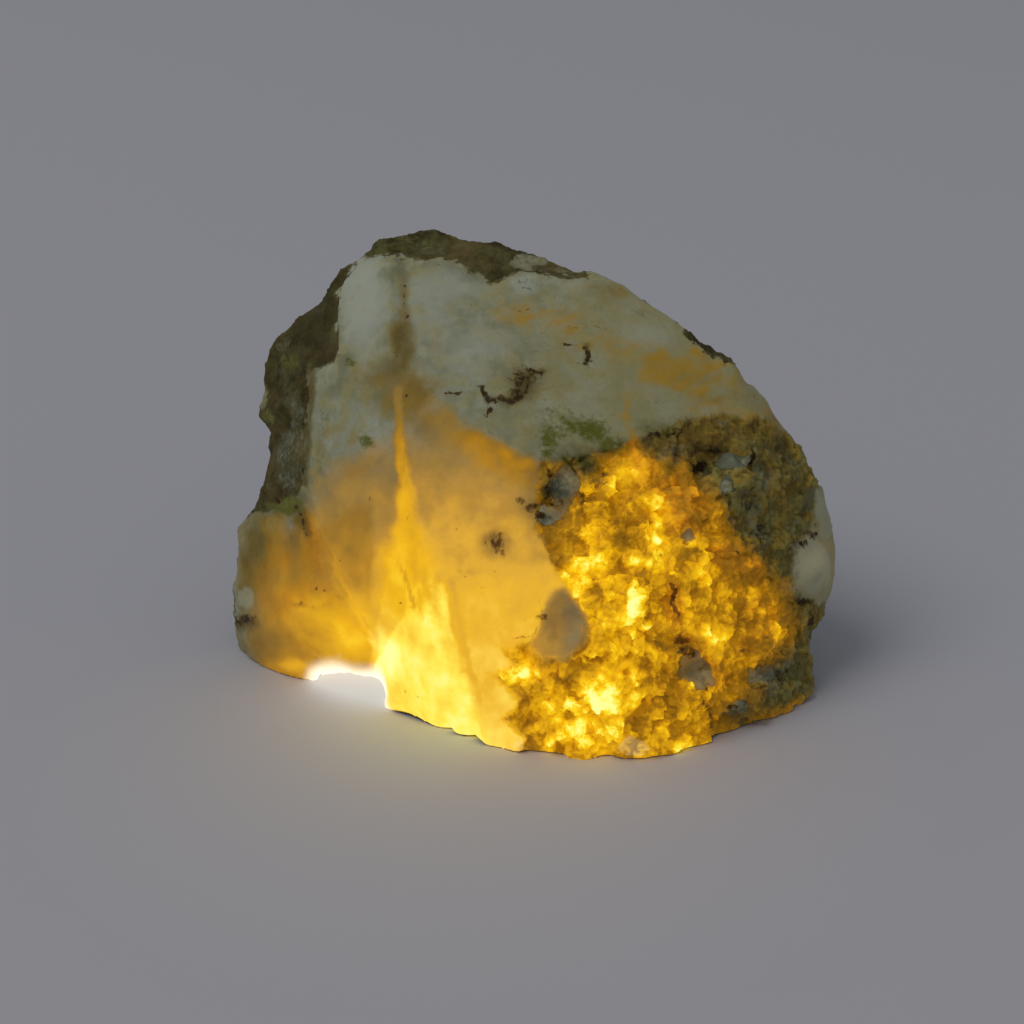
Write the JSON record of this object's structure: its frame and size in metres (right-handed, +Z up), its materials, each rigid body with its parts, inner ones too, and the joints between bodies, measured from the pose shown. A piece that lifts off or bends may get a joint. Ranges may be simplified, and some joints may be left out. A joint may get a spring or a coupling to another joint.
{
  "type": "rough opal specimen",
  "caption": "Broken lump of common opal on a flat foot, with a leaning milky face, a crumbly vuggy lower corner that glows amber, and an olive-brown crust of host rock.",
  "frame": {"origin": "middle of the lump's box, on the surface it stands on", "axes": "+Z up, +X along the longest side, -Y towards the leaning milky face"},
  "size_m": [0.073, 0.0502, 0.0511],
  "materials": {
    "opal": "satin broken surface, translucent white to amber, with rough olive-brown crust"
  },
  "bodies": {
    "root": {"rough_opal": "opal"}
  },
  "joints": []
}
